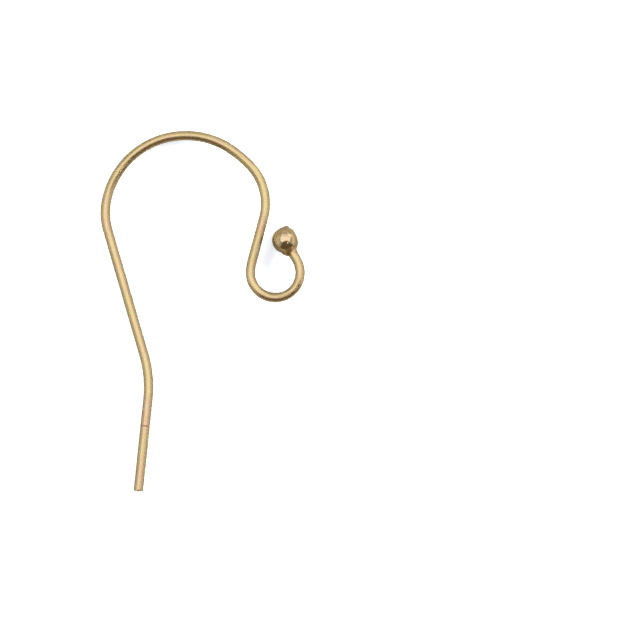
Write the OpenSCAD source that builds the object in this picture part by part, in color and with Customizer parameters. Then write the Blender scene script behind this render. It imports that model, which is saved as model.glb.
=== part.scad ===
// Ear wire: one length of round wire bent in one plane, with a ball soldered to the end of
// its open loop. From the cut end it runs through the post, a kink, the leg, the arch that
// hangs in the ear lobe, the shank and the loop that carries a drop.
// It lies on a flat surface, on the tip of its post, the back of its arch and its ball.
// Lengths are in millimetres and angles in degrees. Every bend radius except the loop's is
// that of the middle of the wire. The origin is under the middle of the outline.

/* [Wire] */
// Diameter of the round wire, 21 gauge
wire_d = 0.72; // [0.5:0.01:1]
// Bevel around the cut end of the post
tip_bevel = 0.05; // [0.02:0.01:0.15]

/* [Post] */
// Direction of the post in plan, from its cut end towards the kink
post_heading = 84; // [75:0.5:95]
// Straight length of the post, from its cut end to the kink
post_len = 7; // [4:0.1:12]
// Angle of the kink between post and leg
kink_turn = 22.2; // [10:0.1:35]
// Radius of the kink
kink_r = 8.7; // [2:0.1:12]
// Straight length of the leg, from the kink to the arch
leg_len = 9.8; // [6:0.1:16]

/* [Arch] */
// Radius of the bend at the back of the arch
back_r = 4.7; // [3:0.1:8]
// Turn of the bend at the back of the arch
back_turn = 31; // [15:0.5:40]
// Radius of the crown
crown_r = 6.1; // [4.5:0.05:8]
// Turn of the crown
crown_turn = 110; // [95:0.5:120]
// Radius of the easier bend on the crown's front slope
slope_r = 8.3; // [4:0.1:12]
// Turn of the easier bend on the crown's front slope
slope_turn = 11.5; // [4:0.5:20]
// Radius of the bend at the front of the arch
front_r = 4.1; // [3:0.05:8]
// Turn of the bend at the front of the arch
front_turn = 58.5; // [45:0.5:65]

/* [Loop] */
// Straight length of the shank, from the arch down to the loop
shank_len = 3.4; // [2.5:0.1:8]
// Radius of the slight bend that leads from the shank into the loop
ease_r = 4.5; // [3:0.1:10]
// Turn of the slight bend that leads from the shank into the loop
ease_turn = 7; // [3:0.5:15]
// Inner diameter of the loop
loop_id = 3.04; // [2.4:0.02:5]
// Gap between ball and shank, through which a drop's ring is slipped
loop_gap = 0.65; // [0.3:0.05:1.5]
// Straight length of wire between the end of the loop's bend and the ball
neck_len = 0.76; // [0.6:0.02:1.5]

/* [Ball] */
// Diameter of the ball
ball_d = 2; // [1.5:0.05:3]
// Radius of the hollow solder fillet between ball and neck
solder_r = 0.5; // [0.2:0.05:0.6]

/* [Hidden] */
$fn = 96;
// Satin gold plating
gold = "#c9a056";
wire_r = wire_d / 2;
ball_r = ball_d / 2;
loop_r = loop_id / 2 + wire_r;
// Length of wire from the end of the loop's bend to the middle of the ball
stub_len = neck_len + ball_r;
// Depth by which the fillet bites into ball and wire, so that they become one solid
bite = 0.01;
// Length by which each straight reaches into the bends beside it, so that they become one solid
lap = 0.03;
// Extra radius of the wire in its bends, which keeps the laps inside them
swell = 0.002;
bend_wire_r = wire_r + swell;
// Length of the short straight between two bends that follow each other
pause = 0.1;
// Angle between two sampled points of a bend
sample_step = 1;

// Bends and straights of the wire, from the cut end to the loop
// Columns: straight length, bend radius, turn to the left
LENGTH = 0;
RADIUS = 1;
TURN = 2;
ROUTE = [
    [post_len, 0, 0],
    [0, kink_r, kink_turn],
    [leg_len, 0, 0],
    [0, back_r, -back_turn],
    [pause, 0, 0],
    [0, crown_r, -crown_turn],
    [pause, 0, 0],
    [0, slope_r, -slope_turn],
    [pause, 0, 0],
    [0, front_r, -front_turn],
    [shank_len, 0, 0],
    [0, ease_r, ease_turn],
    [pause, 0, 0],
];
SHANK_ROW = 10;

// A station is a place on the wire: its x and y in plan, and the wire's heading there
function ahead(h) = [cos(h), sin(h)];
function leftward(h) = [-sin(h), cos(h)];
function place(s) = [s.x, s.y];
function station(p, h) = [p.x, p.y, h];

// Middle of a bend that starts at station s
function bend_centre(s, r, turn) = place(s) + sign(turn) * r * leftward(s.z);

// Station that lies part of the way, from 0 to 1, along one row of the route
function along(s, row, part) =
    row[RADIUS] == 0
        ? station(place(s) + part * row[LENGTH] * ahead(s.z), s.z)
        : let (
            h = s.z + part * row[TURN],
            c = bend_centre(s, row[RADIUS], row[TURN])
        )
        station(c - sign(row[TURN]) * row[RADIUS] * leftward(h), h);

// Stations at the start of every row of the route, and at its end
function stations(s, rows, i = 0) =
    i == len(rows)
        ? [s]
        : concat([s], stations(along(s, rows[i], 1), rows, i + 1));

BARE_STATIONS = stations([0, 0, post_heading], ROUTE);

// The loop's bend ends where the straight stub from it puts the ball the stated gap from
// the shank. ball_reach is the distance of the ball from the loop's middle.
loop_start = BARE_STATIONS[len(ROUTE)];
loop_centre = bend_centre(loop_start, loop_r, 1);
shank_start = BARE_STATIONS[SHANK_ROW];
ball_reach = sqrt(pow(loop_r, 2) + pow(stub_len, 2));
ball_offset = wire_r + loop_gap + ball_r;
centre_offset = (loop_centre - place(shank_start)) * leftward(shank_start.z);
ball_angle = shank_start.z + 90 + acos((ball_offset - centre_offset) / ball_reach);
loop_end_heading = ball_angle + 90 - acos(loop_r / ball_reach);
loop_turn = loop_end_heading - loop_start.z;

FULL_ROUTE = concat(ROUTE, [[0, loop_r, loop_turn], [stub_len, 0, 0]]);
STATIONS = stations([0, 0, post_heading], FULL_ROUTE);
ball_station = STATIONS[len(FULL_ROUTE)];
tip = place(STATIONS[0]);
ball_place = place(ball_station);

// Points sampled along the middle of the whole wire, in plan
function row_points(i) =
    let (n = ceil(abs(FULL_ROUTE[i][TURN]) / sample_step) + 1)
    [for (k = [0 : n]) place(along(STATIONS[i], FULL_ROUTE[i], k / n))];
CENTRELINE = [for (i = [0 : len(FULL_ROUTE) - 1]) each row_points(i)];

// The wire rests on a line from its tip that just touches the back of the arch, and tips
// about that line until the ball rests too
rest_heading = max([for (p = CENTRELINE) if (p != tip) atan2(p.y - tip.y, p.x - tip.x)]);
function off_line(p) = -(p - tip) * leftward(rest_heading);
tilt = asin((ball_r - bend_wire_r) / off_line(ball_place));

// A point of the plan where it lies once the wire has tipped
function laid(p) =
    let (
        forth = (p - tip) * ahead(rest_heading),
        flat = tip + forth * ahead(rest_heading) - off_line(p) * cos(tilt) * leftward(rest_heading)
    )
    [flat.x, flat.y, bend_wire_r + off_line(p) * sin(tilt)];

LAID = [for (p = CENTRELINE) laid(p)];
laid_ball = laid(ball_place);
low_x = min([for (p = LAID) p.x - bend_wire_r]);
high_x = max([laid_ball.x + ball_r, for (p = LAID) p.x + bend_wire_r]);
low_y = min([for (p = LAID) p.y - wire_r * abs(cos(post_heading))]);
high_y = max([laid_ball.y + ball_r, for (p = LAID) p.y + bend_wire_r]);

// Lays the flat wire on the surface, with the middle of its outline over the origin
module lay() {
    translate([-(low_x + high_x) / 2, -(low_y + high_y) / 2, bend_wire_r])
        translate([tip.x, tip.y, 0])
            rotate(a = tilt, v = concat(ahead(rest_heading), 0) * -1)
                translate([-tip.x, -tip.y, 0])
                    children();
}

// Turns its children from +Z to the heading of station s, and moves them there
module at_station(s) {
    translate([s.x, s.y, 0])
        rotate([0, 90, s.z])
            children();
}

// The post, from its bevelled cut end into the kink
module post() {
    at_station(STATIONS[0]) {
        cylinder(h = tip_bevel, r1 = wire_r - tip_bevel, r2 = wire_r);
        translate([0, 0, tip_bevel])
            cylinder(h = post_len - tip_bevel + lap, r = wire_r);
    }
}

// A straight length of wire from station s, lapped into what it meets at both ends
module straight(s, length) {
    at_station(s)
        translate([0, 0, -lap])
            cylinder(h = length + 2 * lap, r = wire_r);
}

// A bend of the wire, from station s
module bend(s, r, turn) {
    c = bend_centre(s, r, turn);
    first = turn > 0 ? s.z - 90 : s.z + 90 + turn;
    translate([c.x, c.y, 0])
        rotate([0, 0, first])
            rotate_extrude(angle = abs(turn))
                translate([r, 0])
                    rotate([0, 0, -90])
                        circle(r = bend_wire_r);
}

// The whole wire, from its cut end to the middle of the ball
module bent_wire() {
    post();
    for (i = [1 : len(FULL_ROUTE) - 1]) {
        row = FULL_ROUTE[i];
        if (row[RADIUS] == 0) {
            straight(STATIONS[i], row[LENGTH]);
        } else {
            bend(STATIONS[i], row[RADIUS], row[TURN]);
        }
    }
}

// The ball, with the hollow cone of solder that runs from it onto the neck
module soldered_ball() {
    ball_in = ball_r - bite;
    wire_in = wire_r - bite;
    // Largest fillet that the neck has room for
    room_r = (pow(stub_len, 2) - pow(ball_in, 2) + pow(wire_in, 2)) / (2 * (ball_in - wire_in));
    fillet_r = min(solder_r, room_r);
    reach = sqrt(pow(ball_in + fillet_r, 2) - pow(wire_in + fillet_r, 2));
    touch = ball_in / (ball_in + fillet_r);
    translate([ball_place.x, ball_place.y, 0]) {
        sphere(r = ball_r);
        rotate([0, -90, ball_station.z])
            rotate_extrude()
                difference() {
                    polygon([
                        [0, ball_in / 2],
                        touch * [wire_in + fillet_r, reach],
                        [wire_in, reach],
                        [0, reach],
                    ]);
                    translate([wire_in + fillet_r, reach])
                        circle(r = fillet_r);
                }
    }
}

module ear_wire() {
    color(gold)
        lay()
            union() {
                bent_wire();
                soldered_ball();
            }
}

ear_wire();
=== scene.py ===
"""Looks of an ear wire: one bent, gold-plated hook wire with a ball soldered to its open loop.

Lengths are in millimetres and angles in degrees, and meshes are written in metres. The wire is
first laid out in plan, where headings are counted to the left from +X. It then tips until it
rests on its cut end, the back of its arch and its ball.
"""

import logging
import math
from dataclasses import dataclass, field
from enum import Enum
from typing import Protocol

import bpy
import numpy as np
from mathutils import Matrix, Vector, noise

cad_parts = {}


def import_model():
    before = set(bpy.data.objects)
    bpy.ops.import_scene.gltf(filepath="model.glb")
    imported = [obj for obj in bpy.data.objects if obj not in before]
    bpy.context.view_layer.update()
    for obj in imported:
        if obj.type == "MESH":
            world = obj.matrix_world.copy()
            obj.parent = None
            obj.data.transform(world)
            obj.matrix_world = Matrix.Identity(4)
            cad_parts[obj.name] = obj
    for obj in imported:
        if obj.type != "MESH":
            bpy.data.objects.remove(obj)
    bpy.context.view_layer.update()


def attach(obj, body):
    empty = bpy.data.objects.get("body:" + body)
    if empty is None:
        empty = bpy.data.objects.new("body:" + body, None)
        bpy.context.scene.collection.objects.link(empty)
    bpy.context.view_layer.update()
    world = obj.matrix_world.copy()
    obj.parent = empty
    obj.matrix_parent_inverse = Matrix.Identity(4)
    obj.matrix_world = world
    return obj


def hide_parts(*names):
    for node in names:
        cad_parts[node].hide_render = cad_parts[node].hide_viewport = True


LOG = logging.getLogger("ear_wire")
MM = 0.001
BODY = "root"
NODE = "ear_wire"
# Depth at which a nick or flat has the full tone of a hollow
HOLLOW_DEPTH = 0.015
# Map of the unrolled skin, whose first direction runs around the wire
UNROLLED = "unrolled"
# Least length by which another is divided
TINY = 1e-9
# Least cosine at which a point still faces a flat. It keeps the far side out of the flat.
FACING = 0.2
# Noise rarely leaves these stretches, so tones and roughnesses are spread over them
TONE_SPAN = (0.28, 0.72)
ROUGH_SPAN = (0.3, 0.7)


class Zone(Enum):
    """The stretch of the piece that a ring of its skin belongs to."""

    END = "cut end"
    WIRE = "drawn wire"
    SOLDER = "solder"
    BALL = "ball"


class Face(Enum):
    """The shape of a light's face, by Blender's name for it."""

    OBLONG = "RECTANGLE"
    ROUND = "DISK"


class FallsOn(Enum):
    """What a light reaches: the metal mirrors it, and the table is lit by it."""

    ALL = "metal and table"
    METAL = "metal alone"
    TABLE = "table alone"


class Layer(Enum):
    """The values that the skin hands to its finish, by the name of their mesh attribute."""

    STRAIGHT = "straightened"
    HOLLOW = "hollow"


def ahead(heading: float) -> np.ndarray:
    """Gives the unit vector in plan that points along a heading."""
    return np.array([math.cos(math.radians(heading)), math.sin(math.radians(heading))])


def leftward(heading: float) -> np.ndarray:
    """Gives the unit vector in plan that points to the left of a heading."""
    return ahead(heading + 90)


def aside(heading: float, rise: float) -> np.ndarray:
    """Gives the unit vector that points along a heading and rises by an angle."""
    level = math.cos(math.radians(rise))
    return np.append(level * ahead(heading), math.sin(math.radians(rise)))


def smooth_step(values: np.ndarray, low: float, high: float) -> np.ndarray:
    """Rises smoothly from 0 at low to 1 at high.

    Args:
        values: The values to ease.
        low: Where the rise starts.
        high: Where the rise ends. It may lie below low, for a fall.

    Returns:
        The eased values, from 0 to 1.
    """
    share = np.clip((values - low) / (high - low), 0.0, 1.0)
    return share * share * (3 - 2 * share)


@dataclass(frozen=True)
class Station:
    """A place on the wire.

    Attributes:
        place: The middle of the wire in plan.
        heading: The wire's heading there.
    """

    place: np.ndarray
    heading: float


@dataclass(frozen=True)
class Straight:
    """A straight stretch of the wire.

    Attributes:
        length: Its length.
    """

    length: float

    def along(self, start: Station, share: float) -> Station:
        """Finds a station on the stretch.

        Args:
            start: The station at which the stretch starts.
            share: How far along it lies, from 0 to 1.

        Returns:
            The station there.
        """
        return Station(start.place + share * self.length * ahead(start.heading), start.heading)


@dataclass(frozen=True)
class Bend:
    """A stretch of the wire that follows an arc.

    Attributes:
        radius: Radius of the middle of the wire.
        turn: Angle that the wire turns through, above 0 to the left.
    """

    radius: float
    turn: float

    @property
    def length(self) -> float:
        """Length of the arc along the middle of the wire."""
        return self.radius * math.radians(abs(self.turn))

    def centre(self, start: Station) -> np.ndarray:
        """Gives the middle of the arc that starts at a station."""
        return start.place + math.copysign(self.radius, self.turn) * leftward(start.heading)

    def along(self, start: Station, share: float) -> Station:
        """Finds a station on the bend.

        Args:
            start: The station at which the bend starts.
            share: How far along it lies, from 0 to 1.

        Returns:
            The station there.
        """
        heading = start.heading + share * self.turn
        out = math.copysign(self.radius, self.turn) * leftward(heading)
        return Station(self.centre(start) - out, heading)


@dataclass(frozen=True)
class Ring:
    """One ring of the skin, round the middle of the wire.

    Attributes:
        middle: Its middle in plan.
        heading: The way its axis points in plan.
        radius: Its radius.
        lean: Angle by which the skin's normal leans from the ring's plane towards its heading.
        run: Length of wire from the cut end to the ring.
        zone: The stretch that it belongs to.
    """

    middle: np.ndarray
    heading: float
    radius: float
    lean: float
    run: float
    zone: Zone


@dataclass
class Skin:
    """The surface of the piece in plan, as rings of points from the cut end to the ball's pole.

    Attributes:
        rings: The rings, in order.
        sides: Points in each ring.
        ball_middle: Middle of the ball.
        ball_r: Radius of the ball.
        length: Length of wire from the cut end to the ball's middle.
        around: Angle of each point of a ring. 0 is left of the wire and 90 is up.
        points: Places of the points, by ring and side.
        normals: Unit normals of the untouched surface, by ring and side.
        lift: How far marks raise each point along its normal.
        hollow: How far each point lies in a nick or flat, from 0 to 1.
    """

    rings: list[Ring]
    sides: int
    ball_middle: np.ndarray
    ball_r: float
    length: float
    around: np.ndarray = field(init=False)
    points: np.ndarray = field(init=False)
    normals: np.ndarray = field(init=False)
    lift: np.ndarray = field(init=False)
    hollow: np.ndarray = field(init=False)

    def __post_init__(self) -> None:
        """Places the points of every ring."""
        self.around = np.arange(self.sides) * 360 / self.sides
        cos, sin = np.cos(np.radians(self.around)), np.sin(np.radians(self.around))
        points, normals = [], []
        for ring in self.rings:
            left = np.append(leftward(ring.heading), 0.0)
            front = np.append(ahead(ring.heading), 0.0)
            out = cos[:, None] * left + sin[:, None] * np.array([0.0, 0.0, 1.0])
            lean = math.radians(ring.lean)
            points.append(np.append(ring.middle, 0.0) + ring.radius * out)
            normals.append(math.cos(lean) * out + math.sin(lean) * front)
        self.points, self.normals = np.array(points), np.array(normals)
        self.lift = np.zeros(self.points.shape[:2])
        self.hollow = np.zeros(self.points.shape[:2])

    @property
    def runs(self) -> np.ndarray:
        """Length of wire from the cut end to each ring."""
        return np.array([ring.run for ring in self.rings])

    def within(self, *zones: Zone) -> np.ndarray:
        """Gives a column that is 1 for rings in one of the zones, and 0 elsewhere."""
        return np.array([[float(ring.zone in zones)] for ring in self.rings])

    def straightened(self) -> np.ndarray:
        """Places the points as if the wire were pulled straight, for patterns along it.

        Returns:
            The places by ring and side, with the run as the third value.
        """
        radii = np.array([ring.radius for ring in self.rings])[:, None]
        angle = np.radians(self.around)[None, :]
        runs = np.broadcast_to(self.runs[:, None], self.lift.shape)
        return np.stack([radii * np.cos(angle), radii * np.sin(angle), runs], axis=-1)

    def shaped(self) -> np.ndarray:
        """Gives the places of the points after all marks."""
        return self.points + self.lift[..., None] * self.normals


class Finish(Protocol):
    """How a surface was made and looks."""

    def material(self) -> bpy.types.Material:
        """Makes the material.

        Returns:
            The new material.
        """
        ...


class Mark(Protocol):
    """Something that shapes the skin a little, such as a nick or a flat."""

    def lift(self, skin: Skin) -> np.ndarray:
        """Gives how far the mark raises each point of the skin: below 0 for a hollow."""
        ...


def turned(around: np.ndarray, middle: float) -> np.ndarray:
    """Gives the angles from a middle angle, between -180 and 180."""
    return (around - middle + 180) % 360 - 180


@dataclass(frozen=True)
class DrawnWaviness:
    """Slow waves that a drawing die and a roll straightener leave in soft wire.

    Attributes:
        depth: Most that the skin sinks.
        wave: Length of the waves along the wire.
        across: Size of the waves around the wire.
        stretch: How much the noise is stretched to reach the full depth.
    """

    depth: float = 0.009
    wave: float = 1.7
    across: float = 0.5
    stretch: float = 1.6

    def lift(self, skin: Skin) -> np.ndarray:
        """Gives how far the waves lower each point.

        Args:
            skin: The skin to mark.

        Returns:
            The lift of each point, which is 0 or less.
        """
        scale = Vector((1 / self.across, 1 / self.across, 1 / self.wave))
        places = skin.straightened().reshape(-1, 3)
        waves = [noise.noise(Vector(place) * scale) for place in places]
        waves = np.array(waves).reshape(skin.lift.shape)
        return -self.depth * (0.5 - 0.5 * np.clip(waves * self.stretch, -1, 1))


@dataclass(frozen=True)
class JawFlat:
    """A shallow flat that the jaw of a bending plier presses into the wire.

    Attributes:
        run: Its middle along the wire.
        around: Side of the wire that it is on.
        length: Its length.
        depth: How deep its middle lies.
        fade: Shares of its length from its middle at which it starts to fade and is gone.
    """

    run: float
    around: float
    length: float
    depth: float
    fade: tuple[float, float] = (0.4, 0.6)

    def lift(self, skin: Skin) -> np.ndarray:
        """Gives how far the flat lowers each point.

        Args:
            skin: The skin to mark.

        Returns:
            The lift of each point, which is 0 or less.
        """
        radii = np.array([ring.radius for ring in skin.rings])[:, None]
        angle = np.radians(turned(skin.around, self.around))[None, :]
        facing = np.clip(np.cos(angle), FACING, 1.0)
        cut = np.clip(radii - (radii - self.depth) / facing, 0.0, None)
        reach = np.abs(skin.runs[:, None] - self.run)
        full, gone = self.fade
        return -cut * smooth_step(reach, gone * self.length, full * self.length)


@dataclass(frozen=True)
class Nick:
    """A fine groove that a cutter or nail leaves across the wire.

    Attributes:
        run: Its place along the wire.
        around: Middle of the side that it crosses.
        spread: Half the angle that it covers.
        width: Its width.
        depth: Its depth.
        full: Share of the spread over which it keeps its full depth.
    """

    run: float
    around: float
    spread: float
    width: float
    depth: float
    full: float = 0.6

    def lift(self, skin: Skin) -> np.ndarray:
        """Gives how far the groove lowers each point.

        Args:
            skin: The skin to mark.

        Returns:
            The lift of each point, which is 0 or less.
        """
        sides = np.abs(turned(skin.around, self.around))[None, :]
        across = (skin.runs[:, None] - self.run) / (0.5 * self.width)
        groove = np.exp(-across * across)
        return -self.depth * groove * smooth_step(sides, self.spread, self.full * self.spread)


@dataclass(frozen=True)
class BallFlat:
    """A soft flat on the ball, where it struck others while it was tumbled.

    Attributes:
        heading: Heading in plan from the ball's middle to the flat.
        rise: Angle by which it lies above the wire's plane.
        depth: How deep its middle lies below the round.
        soft: Share of the depth over which its edge is rounded.
    """

    heading: float
    rise: float
    depth: float
    soft: float = 0.25

    def lift(self, skin: Skin) -> np.ndarray:
        """Gives how far the flat lowers each point.

        Args:
            skin: The skin to mark.

        Returns:
            The lift of each point, which is 0 or less.
        """
        out = skin.points - skin.ball_middle
        facing = (out @ aside(self.heading, self.rise)) / np.linalg.norm(out, axis=-1).clip(TINY)
        level = (skin.ball_r - self.depth) / np.clip(facing, FACING, 1.0)
        over = skin.ball_r - level
        soft = self.soft * self.depth
        cut = soft * np.logaddexp(0.0, over / soft)
        return -cut * (facing > FACING) * skin.within(Zone.BALL)


@dataclass(frozen=True)
class Pip:
    """The small point of metal that is left where the ball was cast or pinched off.

    Attributes:
        heading: Heading in plan from the ball's middle to the pip.
        rise: Angle by which it lies above the wire's plane.
        width: Its width at the foot.
        height: Its height.
    """

    heading: float
    rise: float
    width: float
    height: float

    def lift(self, skin: Skin) -> np.ndarray:
        """Gives how far the pip raises each point.

        Args:
            skin: The skin to mark.

        Returns:
            The lift of each point, which is 0 or more.
        """
        out = skin.points - skin.ball_middle
        size = np.linalg.norm(out, axis=-1).clip(TINY)
        toward = aside(self.heading, self.rise)
        off = np.linalg.norm(out / size[..., None] - toward, axis=-1) * size
        # A blunt peak that has fallen to a quarter of its height at the edge of its foot
        shape = np.exp(-((off / (0.5 * self.width)) ** 4) * math.log(4))
        return self.height * shape * skin.within(Zone.BALL)


@dataclass(frozen=True)
class SolderLump:
    """Solder that ran to one side of the joint and stands out there, or is short there.

    Attributes:
        back: Distance of its middle from the ball's middle, back along the wire.
        around: Side of the wire that it is on.
        length: Its length along the wire.
        spread: Half the angle that it covers.
        height: How far it stands out, or below 0 how far it falls short.
    """

    back: float
    around: float
    length: float
    spread: float
    height: float

    def lift(self, skin: Skin) -> np.ndarray:
        """Gives how far the lump raises each point.

        Args:
            skin: The skin to mark.

        Returns:
            The lift of each point.
        """
        sides = turned(skin.around, self.around)[None, :] / self.spread
        along = (skin.runs[:, None] - skin.length + self.back) / (0.5 * self.length)
        # Round across the wire, and blunter along it
        return self.height * np.exp(-(sides**2) - along**4)


@dataclass(frozen=True)
class Pits:
    """Small shallow pits scattered over part of the skin.

    Attributes:
        zone: Where they are.
        count: How many there are.
        width: Width of the widest.
        depth: Depth of the deepest.
        seed: Seed of their places.
        narrowest: Width of the narrowest, as a share of the widest.
        shallowest: Depth of the shallowest, as a share of the deepest.
    """

    zone: Zone
    count: int
    width: float
    depth: float
    seed: int
    narrowest: float = 0.4
    shallowest: float = 0.3

    def lift(self, skin: Skin) -> np.ndarray:
        """Gives how far the pits lower each point.

        Args:
            skin: The skin to mark.

        Returns:
            The lift of each point, which is 0 or less.
        """
        draw = np.random.default_rng(self.seed)
        there = [i for i, ring in enumerate(skin.rings) if ring.zone is self.zone]
        total = np.zeros_like(skin.lift)
        for _ in range(self.count):
            middle = skin.points[draw.choice(there), draw.integers(skin.sides)]
            width = self.width * draw.uniform(self.narrowest, 1.0)
            depth = self.depth * draw.uniform(self.shallowest, 1.0)
            off = np.linalg.norm(skin.points - middle, axis=-1) / (0.5 * width)
            total -= depth * np.exp(-(off**2))
        return total * skin.within(self.zone)


@dataclass(frozen=True)
class HookWire:
    """The bent wire: post, kink, leg, arch, shank and open loop.

    Every bend radius except the loop's is that of the middle of the wire.

    Attributes:
        wire_d: Diameter of the round wire, 21 gauge.
        tip_bevel: Bevel around the cut end of the post.
        post_heading: Heading of the post in plan, from its cut end.
        post_len: Straight length of the post.
        kink_turn: Turn of the kink between post and leg.
        kink_r: Radius of the kink.
        leg_len: Straight length of the leg.
        back_r: Radius of the bend at the back of the arch.
        back_turn: Turn of that bend.
        crown_r: Radius of the crown.
        crown_turn: Turn of the crown.
        slope_r: Radius of the easier bend on the crown's front slope.
        slope_turn: Turn of that bend.
        front_r: Radius of the bend at the front of the arch.
        front_turn: Turn of that bend.
        shank_len: Straight length of the shank.
        ease_r: Radius of the slight bend that leads from the shank into the loop.
        ease_turn: Turn of that bend.
        loop_id: Inner diameter of the loop.
        loop_gap: Gap between ball and shank, through which a drop's ring is slipped.
        neck_len: Straight length of wire between the loop's bend and the ball.
        pause: Length of the short straight between two bends that follow each other.
        end_dip: How far the flat of the cut end lies back from the post's full length.
        end_hub: Innermost ring of that flat, as a share of its radius.
        end_rings: Rings on that flat.
        end_clear: Least distance from the bevel to the next ring of the post.
    """

    wire_d: float = 0.72
    tip_bevel: float = 0.05
    post_heading: float = 84.0
    post_len: float = 7.0
    kink_turn: float = 22.2
    kink_r: float = 8.7
    leg_len: float = 9.8
    back_r: float = 4.7
    back_turn: float = 31.0
    crown_r: float = 6.1
    crown_turn: float = 110.0
    slope_r: float = 8.3
    slope_turn: float = 11.5
    front_r: float = 4.1
    front_turn: float = 58.5
    shank_len: float = 3.4
    ease_r: float = 4.5
    ease_turn: float = 7.0
    loop_id: float = 3.04
    loop_gap: float = 0.65
    neck_len: float = 0.76
    pause: float = 0.1
    end_dip: float = 0.004
    end_hub: float = 0.12
    end_rings: int = 9
    end_clear: float = 0.01

    @property
    def wire_r(self) -> float:
        """Radius of the wire."""
        return self.wire_d / 2

    @property
    def loop_r(self) -> float:
        """Radius of the loop's bend."""
        return self.loop_id / 2 + self.wire_r

    def hook(self) -> list[Straight | Bend]:
        """Lists the stretches from the cut end to the start of the loop.

        Returns:
            The stretches, in order.
        """
        pause = Straight(self.pause)
        return [
            Straight(self.post_len),
            Bend(self.kink_r, self.kink_turn),
            Straight(self.leg_len),
            Bend(self.back_r, -self.back_turn),
            pause,
            Bend(self.crown_r, -self.crown_turn),
            pause,
            Bend(self.slope_r, -self.slope_turn),
            pause,
            Bend(self.front_r, -self.front_turn),
            Straight(self.shank_len),
            Bend(self.ease_r, self.ease_turn),
            pause,
        ]

    def stations(self, stretches: list[Straight | Bend]) -> list[Station]:
        """Finds the stations at the start of each stretch and at the end of the last.

        Args:
            stretches: The stretches of the wire, from its cut end.

        Returns:
            One station more than there are stretches.
        """
        found = [Station(np.zeros(2), self.post_heading)]
        for stretch in stretches:
            found.append(stretch.along(found[-1], 1.0))
        return found

    def loop(self, ball_r: float) -> Bend:
        """Finds the loop's bend, which leaves the stated gap between shank and ball.

        Args:
            ball_r: Radius of the ball at the loop's end.

        Returns:
            The bend.
        """
        hook = self.hook()
        found = self.stations(hook)
        shank = found[hook.index(Straight(self.shank_len))]
        start = found[-1]
        centre = start.place + self.loop_r * leftward(start.heading)
        reach = math.hypot(self.loop_r, self.neck_len + ball_r)
        off = self.wire_r + self.loop_gap + ball_r
        centre_off = (centre - shank.place) @ leftward(shank.heading)
        ball_angle = shank.heading + 90 + math.degrees(math.acos((off - centre_off) / reach))
        end = ball_angle + 90 - math.degrees(math.acos(self.loop_r / reach))
        return Bend(self.loop_r, end - start.heading)

    def whole(self, ball_r: float) -> list[Straight | Bend]:
        """Lists all stretches, from the cut end to the middle of the ball.

        Args:
            ball_r: Radius of the ball.

        Returns:
            The stretches, of which the last is the straight stub that ends in the ball.
        """
        return [*self.hook(), self.loop(ball_r), Straight(self.neck_len + ball_r)]

    def cut_end(self) -> list[Ring]:
        """Makes the rings of the cut end.

        Returns:
            The rings, from near its middle to where its rounded edge ends.
        """
        flat_r = self.wire_r - self.tip_bevel
        rings = []
        for share in np.linspace(self.end_hub, 1.0, self.end_rings):
            rings.append((flat_r * share, self.end_dip, -90.0))
        for lean in range(-80, 0, 10):
            angle = math.radians(90 + lean)
            radius = flat_r + self.tip_bevel * math.sin(angle)
            back = self.end_dip + self.tip_bevel * (1 - math.cos(angle))
            rings.append((radius, back, lean))
        heading = self.post_heading
        return [
            Ring(run * ahead(heading), heading, radius, lean, run, Zone.END)
            for radius, run, lean in rings
        ]

    def tube(self, ball_r: float, end_run: float, runs: list[float]) -> list[Ring]:
        """Makes the rings of the round wire.

        Args:
            ball_r: Radius of the ball, which sets the loop's turn.
            end_run: Length of wire at which the solder takes over.
            runs: Lengths of wire at which there is a ring.

        Returns:
            The rings whose runs lie between the cut end's rounded edge and end_run.
        """
        rings = []
        first = self.tip_bevel + self.end_clear
        stretches = self.whole(ball_r)
        starts = self.stations(stretches)
        begun = 0.0
        for start, stretch in zip(starts, stretches):
            ended = begun + stretch.length
            for run in runs:
                if begun <= run < ended and first < run < end_run:
                    spot = stretch.along(start, (run - begun) / stretch.length)
                    rings.append(Ring(spot.place, spot.heading, self.wire_r, 0.0, run, Zone.WIRE))
            begun = ended
        return rings


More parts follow.
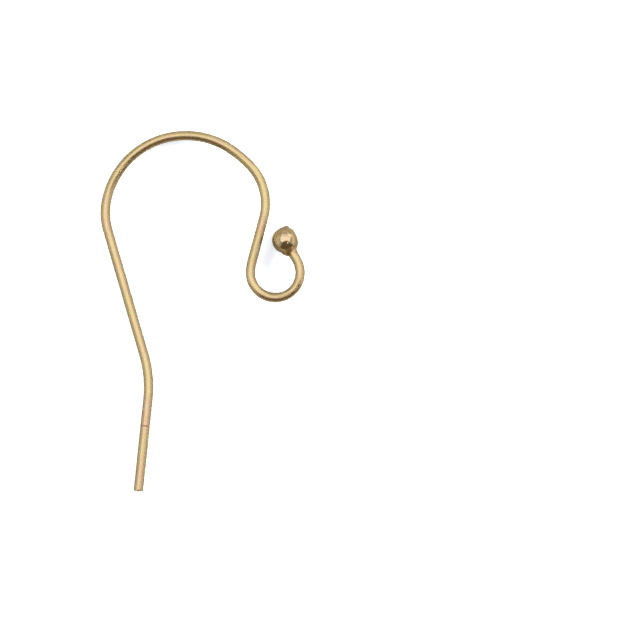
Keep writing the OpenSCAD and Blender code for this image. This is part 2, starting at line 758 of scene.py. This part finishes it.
@dataclass(frozen=True)
class SolderedBall:
    """The ball on the loop's end, and the hollow cone of solder that runs onto the neck.

    Attributes:
        ball_d: Diameter of the ball.
        solder_r: Radius of the hollow fillet of solder between ball and neck.
        step: Distance between rings over the solder and the ball.
        fewest: Fewest rings over the solder.
    """

    ball_d: float = 2.0
    solder_r: float = 0.5
    step: float = 0.035
    fewest: int = 6

    @property
    def ball_r(self) -> float:
        """Radius of the ball."""
        return self.ball_d / 2

    def reach(self, wire_r: float) -> float:
        """Gives the distance from the ball's middle to where the solder meets the bare wire."""
        far = self.ball_r + self.solder_r
        return math.sqrt(far**2 - (wire_r + self.solder_r) ** 2)

    def rings(self, middle: Station, run: float, wire_r: float) -> list[Ring]:
        """Makes the rings of the solder and the ball, from the neck to the ball's far pole.

        Args:
            middle: Station at the ball's middle.
            run: Length of wire from the cut end to the ball's middle.
            wire_r: Radius of the wire.

        Returns:
            The rings, in order.
        """
        reach = self.reach(wire_r)
        touch = math.atan2(wire_r + self.solder_r, reach)
        rings = []
        count = max(self.fewest, round(self.solder_r * (math.pi / 2 - touch) / self.step))
        for angle in np.linspace(0, math.pi / 2 - touch, count, endpoint=False):
            radius = wire_r + self.solder_r * (1 - math.cos(angle))
            back = reach - self.solder_r * math.sin(angle)
            rings.append((radius, back, -math.degrees(angle), Zone.SOLDER))
        count = round(self.ball_r * (math.pi - touch) / self.step)
        for angle in np.linspace(touch, math.pi, count, endpoint=False):
            radius = self.ball_r * math.sin(angle)
            back = self.ball_r * math.cos(angle)
            rings.append((radius, back, math.degrees(angle) - 90, Zone.BALL))
        return [
            Ring(
                middle.place - back * ahead(middle.heading),
                middle.heading,
                radius,
                lean,
                run - back,
                zone,
            )
            for radius, back, lean, zone in rings
        ]


@dataclass(frozen=True)
class Resting:
    """How the flat wire comes to lie on the surface.

    Attributes:
        tip: Middle of the cut end in plan, about which the wire tips.
        heading: Heading of the line from there that just touches the back of the arch.
        tilt: Angle by which the wire tips about that line, until the ball rests too.
        middle: Middle of the outline of the laid wire, which goes over the origin.
        height: Height of the middle of the wire above the surface along that line.
    """

    tip: np.ndarray
    heading: float
    tilt: float
    middle: np.ndarray
    height: float

    def matrix(self) -> Matrix:
        """Gives the matrix that lays points of the plan on the surface.

        Returns:
            The matrix, in millimetres.
        """
        tip = Vector((*self.tip, 0.0))
        axis = Vector((*(-ahead(self.heading)), 0.0))
        turn = Matrix.Rotation(math.radians(self.tilt), 4, axis)
        seat = Vector((-self.middle[0], -self.middle[1], self.height))
        return Matrix.Translation(seat + tip) @ turn @ Matrix.Translation(-tip)


@dataclass
class EarWire:
    """The whole ear wire: hook wire, solder and ball in one skin.

    Attributes:
        wire: The hook wire.
        ball: The ball with its solder.
        sides: Points around the wire.
        step: Distance between rings along the wire.
        fine_step: Distance between rings near a nick.
        nick_reach: How far from a nick the rings are close, in widths of the nick.
        map_margin: Height of the map above and below the rings, for the closed ends.
        bend_swell: Extra radius of the bends on which the solid wire rests.
        waves: Slow waves along the drawn wire.
        marks: What making and wear have left on the skin.
    """

    wire: HookWire = field(default_factory=HookWire)
    ball: SolderedBall = field(default_factory=SolderedBall)
    sides: int = 96
    step: float = 0.12
    fine_step: float = 0.012
    nick_reach: float = 2.5
    map_margin: float = 0.01
    bend_swell: float = 0.002
    waves: DrawnWaviness = DrawnWaviness()
    marks: tuple[Mark, ...] = (
        Nick(run=4.95, around=75, spread=85, width=0.06, depth=0.012),
        JawFlat(run=7.9, around=150, length=1.8, depth=0.005),
        JawFlat(run=17.6, around=40, length=1.8, depth=0.005),
        JawFlat(run=37.5, around=120, length=1.5, depth=0.004),
        JawFlat(run=44.0, around=50, length=1.4, depth=0.005),
        JawFlat(run=48.6, around=85, length=1.2, depth=0.006),
        BallFlat(heading=20, rise=3, depth=0.12),
        BallFlat(heading=130, rise=12, depth=0.05),
        BallFlat(heading=200, rise=55, depth=0.016),
        BallFlat(heading=255, rise=20, depth=0.02),
        BallFlat(heading=75, rise=60, depth=0.014),
        Pip(heading=84.5, rise=4, width=0.4, height=0.11),
        SolderLump(back=0.95, around=0, length=0.42, spread=55, height=0.15),
        SolderLump(back=0.97, around=130, length=0.36, spread=75, height=-0.08),
        SolderLump(back=0.95, around=200, length=0.5, spread=40, height=0.06),
        Pits(Zone.BALL, count=40, width=0.12, depth=0.004, seed=11),
        Pits(Zone.SOLDER, count=14, width=0.12, depth=0.008, seed=5),
    )

    def middles(self) -> np.ndarray:
        """Samples the middle of the wire in plan, about once a degree in its bends.

        Returns:
            The sampled places, in order.
        """
        stretches = self.wire.whole(self.ball.ball_r)
        places = []
        for start, stretch in zip(self.wire.stations(stretches), stretches):
            count = math.ceil(abs(getattr(stretch, "turn", 0.0))) + 1
            places += [stretch.along(start, k / count).place for k in range(count + 1)]
        return np.array(places)

    def ball_station(self) -> Station:
        """Finds the station at the ball's middle."""
        return self.wire.stations(self.wire.whole(self.ball.ball_r))[-1]

    def resting(self) -> Resting:
        """Works out how the wire lies on its cut end, the back of its arch and its ball.

        Returns:
            How it lies, with the middle of its outline.
        """
        places = self.middles()
        tip = places[0]
        rest_r = self.wire.wire_r + self.bend_swell
        out = places[1:] - tip
        heading = math.degrees(np.arctan2(out[:, 1], out[:, 0]).max())
        off = -(self.ball_station().place - tip) @ leftward(heading)
        tilt = math.degrees(math.asin((self.ball.ball_r - rest_r) / off))
        lay = Resting(tip, heading, tilt, np.zeros(2), rest_r).matrix()
        laid = np.array([lay @ Vector((*place, 0.0)) for place in places])[:, :2]
        ball = laid[-1]
        end_low = self.wire.wire_r * abs(math.cos(math.radians(self.wire.post_heading)))
        low = np.array([laid[:, 0].min() - rest_r, laid[:, 1].min() - end_low])
        high = np.maximum(laid.max(axis=0) + rest_r, ball + self.ball.ball_r)
        return Resting(tip, heading, tilt, (low + high) / 2, rest_r)

    def runs(self, end: float) -> list[float]:
        """Chooses where along the wire a ring goes, closer together near each nick.

        Args:
            end: Length of wire at which the rings stop.

        Returns:
            Lengths of wire from the cut end, in order.
        """
        first = self.wire.tip_bevel + self.wire.end_clear
        runs = list(np.arange(first, end - 0.5 * self.step, self.step))
        for nick in (mark for mark in self.marks if isinstance(mark, Nick)):
            near = self.nick_reach * nick.width
            runs = [run for run in runs if abs(run - nick.run) > near]
            runs += list(np.arange(nick.run - near, nick.run + near, self.fine_step))
        return sorted(runs)

    def skin(self) -> Skin:
        """Makes the skin in plan, with its marks.

        Returns:
            The marked skin.
        """
        ball = self.ball_station()
        total = sum(stretch.length for stretch in self.wire.whole(self.ball.ball_r))
        end = total - self.ball.reach(self.wire.wire_r)
        rings = [
            *self.wire.cut_end(),
            *self.wire.tube(self.ball.ball_r, end, self.runs(end)),
            *self.ball.rings(ball, total, self.wire.wire_r),
        ]
        skin = Skin(rings, self.sides, np.append(ball.place, 0.0), self.ball.ball_r, total)
        for mark in self.marks:
            skin.lift += mark.lift(skin)
        skin.hollow = np.clip(-skin.lift / HOLLOW_DEPTH, 0.0, 1.0)
        skin.lift += self.waves.lift(skin)
        return skin

    def faces(self, rows: int) -> list[tuple[int, ...]]:
        """Lists the faces of the skin, whose last two points close its ends.

        Args:
            rows: How many rings there are.

        Returns:
            The points of each face: row by row, then both ends in turn.
        """
        sides, last = self.sides, (rows - 1) * self.sides
        low, high = rows * sides, rows * sides + 1
        beside = [(side + 1) % sides for side in range(sides)]
        faces: list[tuple[int, ...]] = []
        for near in range(0, last, sides):
            far = near + sides
            for side in range(sides):
                faces.append((near + side, far + side, far + beside[side], near + beside[side]))
        for side in range(sides):
            faces.append((low, side, beside[side]))
            faces.append((high, last + beside[side], last + side))
        return faces

    def unrolled(self, rows: int) -> np.ndarray:
        """Unrolls the skin onto a square map: once around is its width, and all rings its height.

        Args:
            rows: How many rings there are.

        Returns:
            The place on the map of each corner of each face, in the order of faces.
        """
        left = np.arange(self.sides) / self.sides
        right = left + 1 / self.sides
        middle = (left + right) / 2
        height = np.linspace(self.map_margin, 1 - self.map_margin, rows)
        across = np.stack([left, left, right, right], axis=-1)
        up = np.stack([height[:-1], height[1:], height[1:], height[:-1]], axis=-1)
        quads = np.stack(np.broadcast_arrays(across[None], up[:, None]), axis=-1)
        across = np.stack([middle, left, right, middle, right, left], axis=-1)
        up = np.array([[0.0, height[0], height[0], 1.0, height[-1], height[-1]]])
        ends = np.stack(np.broadcast_arrays(across, up), axis=-1)
        return np.vstack([quads.reshape(-1, 2), ends.reshape(-1, 2)])

    def build(self, finishes: dict[Zone, Finish]) -> bpy.types.Object:
        """Builds the piece, laid on the surface and dressed.

        Args:
            finishes: The finish of each zone.

        Returns:
            The new object.
        """
        skin = self.skin()
        plan = skin.shaped().reshape(-1, 3)
        ends = [plan[: self.sides].mean(axis=0), plan[-self.sides :].mean(axis=0)]
        lay = np.array(self.resting().matrix())
        laid = (np.vstack([plan, ends]) @ lay[:3, :3].T + lay[:3, 3]) * MM
        mesh = bpy.data.meshes.new("hook_wire_and_ball")
        mesh.from_pydata(laid.tolist(), [], self.faces(len(skin.rings)))
        mesh.validate()
        mesh.polygons.foreach_set("use_smooth", [True] * len(mesh.polygons))
        self.hand_over(mesh, skin)
        self.dress(mesh, skin, finishes)
        piece = bpy.data.objects.new("hook_wire_and_ball", mesh)
        bpy.context.scene.collection.objects.link(piece)
        return piece

    def hand_over(self, mesh: bpy.types.Mesh, skin: Skin) -> None:
        """Writes the layers that the finishes read to the mesh.

        Args:
            mesh: The mesh, whose last two points close its ends.
            skin: The skin that it was made from.
        """
        straight = skin.straightened().reshape(-1, 3)
        ends = [[0.0, 0.0, skin.runs[0]], [0.0, 0.0, skin.runs[-1]]]
        layer = mesh.attributes.new(Layer.STRAIGHT.value, "FLOAT_VECTOR", "POINT")
        layer.data.foreach_set("vector", np.vstack([straight, ends]).astype(np.float32).ravel())
        layer = mesh.attributes.new(Layer.HOLLOW.value, "FLOAT", "POINT")
        whole = np.append(skin.hollow, [skin.hollow[0].mean(), skin.hollow[-1].mean()])
        layer.data.foreach_set("value", whole.astype(np.float32))
        unrolled = self.unrolled(len(skin.rings)).astype(np.float32)
        mesh.uv_layers.new(name=UNROLLED).uv.foreach_set("vector", unrolled.ravel())

    def dress(self, mesh: bpy.types.Mesh, skin: Skin, finishes: dict[Zone, Finish]) -> None:
        """Gives each ring of faces the finish of its zone.

        Args:
            mesh: The mesh to dress.
            skin: The skin that it was made from.
            finishes: The finish of each zone.
        """
        kinds = list(dict.fromkeys(finishes.values()))
        for finish in kinds:
            mesh.materials.append(finish.material())
        rings = [kinds.index(finishes[ring.zone]) for ring in skin.rings]
        faces = np.repeat(rings[:-1], self.sides).tolist() + [rings[0], rings[-1]] * self.sides
        mesh.polygons.foreach_set("material_index", faces)

    def join(self, piece: bpy.types.Object) -> None:
        """Puts the piece in the place of its solid, on the same body.

        Args:
            piece: The dressed piece.
        """
        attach(piece, BODY)
        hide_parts(NODE)
        LOG.info("%s: %d faces", piece.name, len(piece.data.polygons))


def linear(colour: str) -> tuple[float, float, float, float]:
    """Turns an sRGB hex colour into linear light.

    Args:
        colour: The colour, as #rrggbb.

    Returns:
        Red, green, blue and an alpha of 1.
    """
    parts = [int(colour[k : k + 2], 16) / 255 for k in (1, 3, 5)]
    light = [c / 12.92 if c <= 0.04045 else ((c + 0.055) / 1.055) ** 2.4 for c in parts]
    return (*light, 1.0)


def add_node(
    tree: bpy.types.NodeTree,
    kind: str,
    settings: dict[str, object] | None = None,
    inputs: dict[str | int, object] | None = None,
    tones: tuple[str, ...] = (),
) -> bpy.types.Node:
    """Adds a node with its settings and links.

    Args:
        tree: The tree that it goes into.
        kind: Its type.
        settings: Its own settings, by name.
        inputs: Values for its inputs, or the outputs that feed them, by name or number.
        tones: Colours to spread over its colour ramp, where it has one.

    Returns:
        The new node.
    """
    node = tree.nodes.new(kind)
    for name, value in (settings or {}).items():
        setattr(node, name, value)
    for name, value in (inputs or {}).items():
        if isinstance(value, bpy.types.NodeSocket):
            tree.links.new(value, node.inputs[name])
        else:
            node.inputs[name].default_value = value
    for k, tone in enumerate(tones):
        # A fresh ramp already has two stops
        stops = node.color_ramp.elements
        share = TONE_SPAN[0] + (TONE_SPAN[1] - TONE_SPAN[0]) * k / (len(tones) - 1)
        stop = stops[k] if k < 2 else stops.new(share)
        stop.position = share
        stop.color = linear(tone)
    return node


def blank(name: str) -> tuple[bpy.types.Material, bpy.types.NodeTree]:
    """Makes a material with nothing in it.

    Args:
        name: Its name.

    Returns:
        The material and its tree.
    """
    made = bpy.data.materials.new(name)
    made.use_nodes = True
    made.node_tree.nodes.clear()
    return made, made.node_tree


@dataclass(frozen=True)
class DrawnWirePlate:
    """Gold plate over drawn brass wire.

    The die leaves fine lines lengthwise, which make the shine satin. The plate's thickness and
    the wire's own tone drift along it, between straw, peach and tan.

    Attributes:
        tones: Colours that the plate drifts between.
        tone_across: Size of a patch of one tone around the wire.
        tone_along: Length of a patch of one tone.
        tone_seed: Picks where the patches fall.
        hollow_tone: Colour in nicks and plier flats, where the plate is thin and dull.
        line_width: Width of a draw line. Real ones are 0.01 to 0.02 wide, too fine to show.
        line_length: Length of a draw line.
        line_depth: Depth of a draw line.
        grain: Size of the soft unevenness of the plate.
        grain_depth: Depth of that unevenness.
        roughness: Lowest and highest roughness.
        spread: How much wider the draw lines spread a highlight around the wire than along it,
            from 0 to 1.
    """

    tones: tuple[str, ...] = ("#dcbd8f", "#e0c79f", "#dfcb99", "#e2c29f", "#e0c8a5")
    tone_across: float = 0.9
    tone_along: float = 2.6
    tone_seed: float = 4.0
    hollow_tone: str = "#9c7650"
    line_width: float = 0.05
    line_length: float = 5.0
    line_depth: float = 0.0003
    grain: float = 0.16
    grain_depth: float = 0.0003
    roughness: tuple[float, float] = (0.21, 0.32)
    spread: float = 0.82

    def material(self) -> bpy.types.Material:
        """Makes the material.

        Returns:
            The new material.
        """
        # The draw lines spread each highlight around the wire, so the eye sees a silky band of
        # light along it, and its plate drifts slowly in tone
        made, tree = blank("gold plate on drawn brass wire, satin")
        layer = {"attribute_name": Layer.STRAIGHT.value}
        place = add_node(tree, "ShaderNodeAttribute", layer).outputs["Vector"]
        layer = {"attribute_name": Layer.HOLLOW.value}
        hollow = add_node(tree, "ShaderNodeAttribute", layer).outputs["Fac"]
        scale = (1 / self.tone_across, 1 / self.tone_across, 1 / self.tone_along)
        patches = add_node(
            tree, "ShaderNodeVectorMath", {"operation": "MULTIPLY"}, {0: place, 1: scale}
        ).outputs["Vector"]
        drift = add_node(
            tree,
            "ShaderNodeTexNoise",
            {"noise_dimensions": "4D"},
            {"Vector": patches, "W": self.tone_seed, "Scale": 1.0, "Detail": 3.0},
        ).outputs["Fac"]
        tone = add_node(tree, "ShaderNodeValToRGB", {}, {"Fac": drift}, self.tones)
        # Inputs 6 and 7 of this node are its two colours, and output 2 is their mix
        colour = add_node(
            tree,
            "ShaderNodeMix",
            {"data_type": "RGBA"},
            {0: hollow, 6: tone.outputs["Color"], 7: linear(self.hollow_tone)},
        ).outputs[2]
        scale = (1 / self.line_width, 1 / self.line_width, 1 / self.line_length)
        drawn = add_node(
            tree, "ShaderNodeVectorMath", {"operation": "MULTIPLY"}, {0: place, 1: scale}
        ).outputs["Vector"]
        lines = add_node(
            tree, "ShaderNodeTexNoise", {}, {"Vector": drawn, "Scale": 1.0, "Detail": 1.0}
        ).outputs["Fac"]
        grain = add_node(
            tree,
            "ShaderNodeTexNoise",
            {},
            {"Vector": place, "Scale": 1 / self.grain, "Detail": 2.0},
        ).outputs["Fac"]
        least, most = ROUGH_SPAN
        low, high = self.roughness
        rough = add_node(
            tree,
            "ShaderNodeMapRange",
            {},
            {"Value": grain, "From Min": least, "From Max": most, "To Min": low, "To Max": high},
        ).outputs["Result"]
        lined = add_node(
            tree,
            "ShaderNodeBump",
            {},
            {"Strength": 1.0, "Distance": self.line_depth * MM, "Height": lines},
        ).outputs["Normal"]
        uneven = add_node(
            tree,
            "ShaderNodeBump",
            {},
            {
                "Strength": 1.0,
                "Distance": self.grain_depth * MM,
                "Height": grain,
                "Normal": lined,
            },
        ).outputs["Normal"]
        around = add_node(
            tree, "ShaderNodeTangent", {"direction_type": "UV_MAP", "uv_map": UNROLLED}
        ).outputs["Tangent"]
        shader = add_node(
            tree,
            "ShaderNodeBsdfPrincipled",
            {},
            {
                "Base Color": colour,
                "Metallic": 1.0,
                "Roughness": rough,
                "Anisotropic": self.spread,
                "Tangent": around,
                "Normal": uneven,
            },
        )
        add_node(tree, "ShaderNodeOutputMaterial", {}, {"Surface": shader.outputs["BSDF"]})
        return made


@dataclass(frozen=True)
class DentedPlate:
    """Gold plate over metal whose fine dents and dull spots break up what it mirrors.

    Attributes:
        name: Name of its material.
        tones: Colours that the plate drifts between.
        tone_size: Size of a patch of one tone.
        dent: Size of the dents.
        dent_depth: Depth of the dents.
        spot: Size of the dull spots.
        spot_edge: Values of their noise at which a spot starts and is fully dull.
        roughness: Roughness between the spots and in them.
    """

    name: str
    tones: tuple[str, ...]
    tone_size: float
    dent: float
    dent_depth: float
    spot: float
    spot_edge: tuple[float, float]
    roughness: tuple[float, float]

    def material(self) -> bpy.types.Material:
        """Makes the material.

        Returns:
            The new material.
        """
        made, tree = blank(self.name)
        layer = {"attribute_name": Layer.STRAIGHT.value}
        place = add_node(tree, "ShaderNodeAttribute", layer).outputs["Vector"]
        drift, spots, dents = (
            add_node(
                tree,
                "ShaderNodeTexNoise",
                {},
                {"Vector": place, "Scale": 1 / size, "Detail": detail},
            ).outputs["Fac"]
            for size, detail in ((self.tone_size, 3.0), (self.spot, 2.0), (self.dent, 2.0))
        )
        tone = add_node(tree, "ShaderNodeValToRGB", {}, {"Fac": drift}, self.tones)
        clean, dull = self.spot_edge
        low, high = self.roughness
        rough = add_node(
            tree,
            "ShaderNodeMapRange",
            {},
            {"Value": spots, "From Min": clean, "From Max": dull, "To Min": low, "To Max": high},
        ).outputs["Result"]
        dented = add_node(
            tree,
            "ShaderNodeBump",
            {},
            {"Strength": 1.0, "Distance": self.dent_depth * MM, "Height": dents},
        ).outputs["Normal"]
        shader = add_node(
            tree,
            "ShaderNodeBsdfPrincipled",
            {},
            {
                "Base Color": tone.outputs["Color"],
                "Metallic": 1.0,
                "Roughness": rough,
                "Normal": dented,
            },
        )
        add_node(tree, "ShaderNodeOutputMaterial", {}, {"Surface": shader.outputs["BSDF"]})
        return made


@dataclass(frozen=True)
class TumbledBallPlate(DentedPlate):
    """Gold plate over a brass ball that was polished by tumbling.

    Its dents are the knocks that it took in the tumbler.
    """

    # The polish mirrors the room almost sharply. The knocks make the edges of what it mirrors
    # uneven, and small specks of it are dull.
    name: str = "gold plate on tumbled brass, polished"
    tones: tuple[str, ...] = ("#d4c296", "#e3cea8", "#e1c9a3", "#e1c3a5")
    tone_size: float = 0.7
    dent: float = 0.3
    dent_depth: float = 0.006
    spot: float = 0.1
    spot_edge: tuple[float, float] = (0.45, 0.7)
    roughness: tuple[float, float] = (0.09, 0.26)


@dataclass(frozen=True)
class SolderPlate(DentedPlate):
    """Gold plate over hard solder as it froze.

    Its dents are the orange-peel grain of the solder.
    """

    # The grain breaks the light into small glints, on a ground that is duller and a little
    # browner than the ball
    name: str = "gold plate on hard solder, as cast"
    tones: tuple[str, ...] = ("#d8b684", "#e6c897", "#dfc08e")
    tone_size: float = 0.4
    dent: float = 0.12
    dent_depth: float = 0.008
    spot: float = 0.12
    spot_edge: tuple[float, float] = ROUGH_SPAN
    roughness: tuple[float, float] = (0.2, 0.36)


@dataclass(frozen=True)
class CardFinish:
    """Matt card.

    Attributes:
        name: Name of its material.
        colour: Its colour.
        glow: Share of its colour that it gives off by itself.
    """

    name: str
    colour: str
    glow: float = 0.0

    def material(self) -> bpy.types.Material:
        """Makes the material.

        Returns:
            The new material.
        """
        # Pressed fibre scatters the light, so the eye sees one flat tone without shine
        made, tree = blank(self.name)
        paper = add_node(tree, "ShaderNodeBsdfDiffuse", {}, {"Color": linear(self.colour)})
        light = add_node(
            tree, "ShaderNodeEmission", {}, {"Color": linear(self.colour), "Strength": self.glow}
        )
        both = add_node(
            tree, "ShaderNodeAddShader", {}, {0: paper.outputs[0], 1: light.outputs[0]}
        )
        add_node(tree, "ShaderNodeOutputMaterial", {}, {"Surface": both.outputs[0]})
        return made


def stand(name: str, mesh: bpy.types.Mesh, finish: CardFinish) -> bpy.types.Object:
    """Puts a piece of the studio in the scene.

    Args:
        name: Its name.
        mesh: Its mesh.
        finish: Its finish.

    Returns:
        The new object, which isn't part of the ear wire.
    """
    mesh.materials.append(finish.material())
    piece = bpy.data.objects.new(name, mesh)
    bpy.context.scene.collection.objects.link(piece)
    LOG.info("%s: %s", name, finish.name)
    return piece


@dataclass(frozen=True)
class Card:
    """A flat card with an arched top, or a round one where its foot is 0 wide.

    Attributes:
        name: Its name.
        middle: Its middle.
        facing: Direction that it faces.
        size: Its half width and half height.
        finish: Its finish.
        foot: Half width of its straight foot.
        corners: Points along its arch.
    """

    name: str
    middle: Vector
    facing: Vector
    size: tuple[float, float]
    finish: CardFinish
    foot: float = 0.0
    corners: int = 96

    def build(self) -> bpy.types.Object:
        """Builds the card.

        Returns:
            The new object.
        """
        turn = self.facing.to_track_quat("Z", "Y")
        wide, high = self.size
        arch = math.pi if self.foot else 2 * math.pi
        angles = np.linspace(0, arch, self.corners, endpoint=False)
        rim = [Vector((wide * math.cos(a), high * math.sin(a), 0)) for a in angles]
        if self.foot:
            rim += [Vector((-self.foot, -high, 0)), Vector((self.foot, -high, 0))]
        mesh = bpy.data.meshes.new(self.name)
        mesh.from_pydata([(self.middle + turn @ p) * MM for p in rim], [], [range(len(rim))])
        return stand(self.name, mesh, self.finish)


@dataclass(frozen=True)
class Sweep:
    """A sheet of card that lies flat all round a hole, and curves up into a wall.

    Attributes:
        name: Its name.
        finish: Its finish.
        hole_r: Radius of the hole.
        flat_r: Radius at which it starts to curve up.
        bend_r: Radius of the curve between floor and wall.
        height: Height of its wall.
        sides: Points around it.
        bend_steps: Strips of the curve.
    """

    name: str
    finish: CardFinish
    hole_r: float
    flat_r: float = 500.0
    bend_r: float = 300.0
    height: float = 900.0
    sides: int = 96
    bend_steps: int = 15

    def build(self) -> bpy.types.Object:
        """Builds the sheet.

        Returns:
            The new object.
        """
        profile = [(self.hole_r, 0.0), (self.flat_r, 0.0)]
        for angle in np.radians(np.linspace(0, 90, self.bend_steps + 1)[1:]):
            out = self.flat_r + self.bend_r * math.sin(angle)
            profile.append((out, self.bend_r * (1 - math.cos(angle))))
        profile.append((self.flat_r + self.bend_r, self.height))
        around = np.linspace(0, 2 * math.pi, self.sides, endpoint=False)
        points = []
        for out, up in profile:
            points += [(out * math.cos(a) * MM, out * math.sin(a) * MM, up * MM) for a in around]
        faces = []
        for low in range(0, len(points) - self.sides, self.sides):
            for side in range(self.sides):
                beside = (side + 1) % self.sides
                high = low + self.sides
                faces.append((low + beside, low + side, high + side, high + beside))
        mesh = bpy.data.meshes.new(self.name)
        mesh.from_pydata(points, [], faces)
        mesh.polygons.foreach_set("use_smooth", [True] * len(faces))
        return stand(self.name, mesh, self.finish)


@dataclass(frozen=True)
class SoftLight:
    """A soft light that faces the object.

    Attributes:
        name: Its name.
        heading: Heading in plan from the object to the light.
        rise: Its angle above the surface.
        distance: Its distance.
        size: Its width and height. A round one has the same for both.
        glow: Brightness of its face, where 1 is the white of the picture.
        colour: Its colour.
        falls_on: What it reaches.
        face: Shape of its face.
    """

    name: str
    heading: float
    rise: float
    distance: float
    size: tuple[float, float]
    glow: float
    colour: str = "#ffffff"
    falls_on: FallsOn = FallsOn.ALL
    face: Face = Face.OBLONG

    def build(self) -> None:
        """Builds the light."""
        data = bpy.data.lights.new(self.name, "AREA")
        data.shape = self.face.value
        data.size, data.size_y = self.size[0] * MM, self.size[1] * MM
        # A face's brightness is its power over its area, shared over the half sphere by pi
        data.energy = math.pi * self.glow * data.size * data.size_y
        data.color = linear(self.colour)[:3]
        lamp = bpy.data.objects.new(self.name, data)
        lamp.visible_camera = False
        lamp.visible_glossy = self.falls_on is not FallsOn.TABLE
        lamp.visible_diffuse = self.falls_on is not FallsOn.METAL
        out = Vector(aside(self.heading, self.rise))
        lamp.location = out * self.distance * MM
        lamp.rotation_mode = "QUATERNION"
        lamp.rotation_quaternion = out.to_track_quat("Z", "Y")
        bpy.context.scene.collection.objects.link(lamp)
        LOG.info("%s: area light", self.name)


@dataclass(frozen=True)
class Studio:
    """The floor, the soft light and the camera.

    The photo's ground was knocked out to white, and the metal still mirrors the darker table
    that it lay on. So the white floor shows only to the camera, and the table to the metal. A
    dimly glowing dark card, which only the metal mirrors, paints the dark reflection on the side
    away from the softboxes.

    Attributes:
        view_width: Width of the picture at the object.
        aim: Point that the middle of the picture shows.
        stand_off: Distance of the camera.
        sensor: Width of the camera's sensor.
        room: Colour of the room's own dim light.
        floor_r: Radius of the floor on which the object's faint shadow falls.
        table_r: Radius of the table top.
        table_drop: How far the table lies below the floor.
        card_side: Heading and rise of the dark card, from the object.
        card_distance: Distance of the dark card.
        card_size: Half width and half height of the dark card.
        card_foot: Half width of the dark card's foot.
        lights: The lights.
    """

    view_width: float = 48.32
    aim: tuple[float, float, float] = (8.855, -0.661, 0.55)
    stand_off: float = 800.0
    sensor: float = 36.0
    room: str = "#ada998"
    floor_r: float = 150.0
    table_r: float = 900.0
    table_drop: float = 0.01
    card_side: tuple[float, float] = (-80.0, 36.0)
    card_distance: float = 900.0
    card_size: tuple[float, float] = (735.0, 1035.0)
    card_foot: float = 1560.0
    lights: tuple[SoftLight, ...] = (
        SoftLight("overhead_softbox", 80, 85, 1260, (2460, 1230), 0.87, "#f9fbff", FallsOn.METAL),
        SoftLight("upper_softbox", 80, 46.5, 1260, (2100, 558), 0.55, "#f9fbff", FallsOn.METAL),
        SoftLight("back_softbox", 54, 28, 1260, (960, 450), 0.55, falls_on=FallsOn.METAL),
        SoftLight("low_softbox", 95, 12, 1200, (900, 390), 0.2, falls_on=FallsOn.METAL),
        SoftLight("small_lamp", -42, 60, 200, (18, 18), 6.0, face=Face.ROUND),
        SoftLight("right_fill", 10, 14, 1200, (1680, 600), 0.5, "#ecdfd6"),
        SoftLight("left_fill", 172, 20, 1200, (1260, 780), 0.25, "#eef0dc"),
        SoftLight("right_window", 25, 25, 400, (140, 140), 45.0, "#faeee2", FallsOn.TABLE),
        SoftLight("left_window", 165, 35, 400, (140, 140), 22.0, falls_on=FallsOn.TABLE),
    )

    def build_ground(self) -> None:
        """Builds the white floor and sweep, the table that the metal mirrors and the glowing dark
        card that paints its dark reflection.
        """
        up = Vector((0, 0, 1))
        level = Vector((0, 0, 0))
        pale = CardFinish("matt blue-white card, overexposed", "#dfe4ef", glow=0.8)
        floor = Card("white_floor", level, up, (self.floor_r, self.floor_r), pale).build()
        white = CardFinish("lit white card", "#e7e7e7", glow=1.0)
        sweep = Sweep("white_sweep", white, self.floor_r).build()
        for sheet in (floor, sweep):
            sheet.visible_glossy = sheet.visible_diffuse = sheet.visible_shadow = False
        grey = CardFinish("matt grey card", "#9b9b8f")
        below = -self.table_drop * up
        table = Card("table_top", below, up, (self.table_r, self.table_r), grey).build()
        table.visible_camera = table.visible_shadow = False
        # Painted reflection: a dimly glowing dark card, seen only by the metal, stands in for the
        # dark side of the room and paints the dark band on the wire and ball
        out = Vector(aside(*self.card_side))
        spot = out * self.card_distance
        dark_reflection_glow = CardFinish("brown felt", "#70614f", glow=0.35)
        card = Card("dark_card", spot, -out, self.card_size, dark_reflection_glow, foot=self.card_foot).build()
        card.visible_camera = card.visible_diffuse = card.visible_shadow = False

    def build_camera(self) -> None:
        """Builds the camera, straight above, with +Y up in the picture."""
        data = bpy.data.cameras.new("camera")
        data.sensor_width = self.sensor
        data.lens = self.sensor * self.stand_off / self.view_width
        camera = bpy.data.objects.new("camera", data)
        camera.location = (Vector(self.aim) + Vector((0, 0, self.stand_off))) * MM
        bpy.context.scene.collection.objects.link(camera)
        bpy.context.scene.camera = camera
        LOG.info("camera: %.0f mm above", self.stand_off)

    def build(self) -> None:
        """Builds all of it."""
        scene = bpy.context.scene
        scene.view_settings.view_transform = "Standard"
        scene.world = bpy.data.worlds.new("dim_room")
        scene.world.use_nodes = True
        scene.world.node_tree.nodes["Background"].inputs["Color"].default_value = linear(self.room)
        self.build_ground()
        for light in self.lights:
            light.build()
        self.build_camera()


def main() -> None:
    """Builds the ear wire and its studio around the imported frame."""
    logging.basicConfig(level=logging.INFO, format="%(name)s: %(message)s")
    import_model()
    drawn = DrawnWirePlate()
    ear_wire = EarWire()
    piece = ear_wire.build(
        {
            Zone.END: drawn,
            Zone.WIRE: drawn,
            Zone.SOLDER: SolderPlate(),
            Zone.BALL: TumbledBallPlate(),
        }
    )
    ear_wire.join(piece)
    Studio().build()


if __name__ == "__main__":
    main()
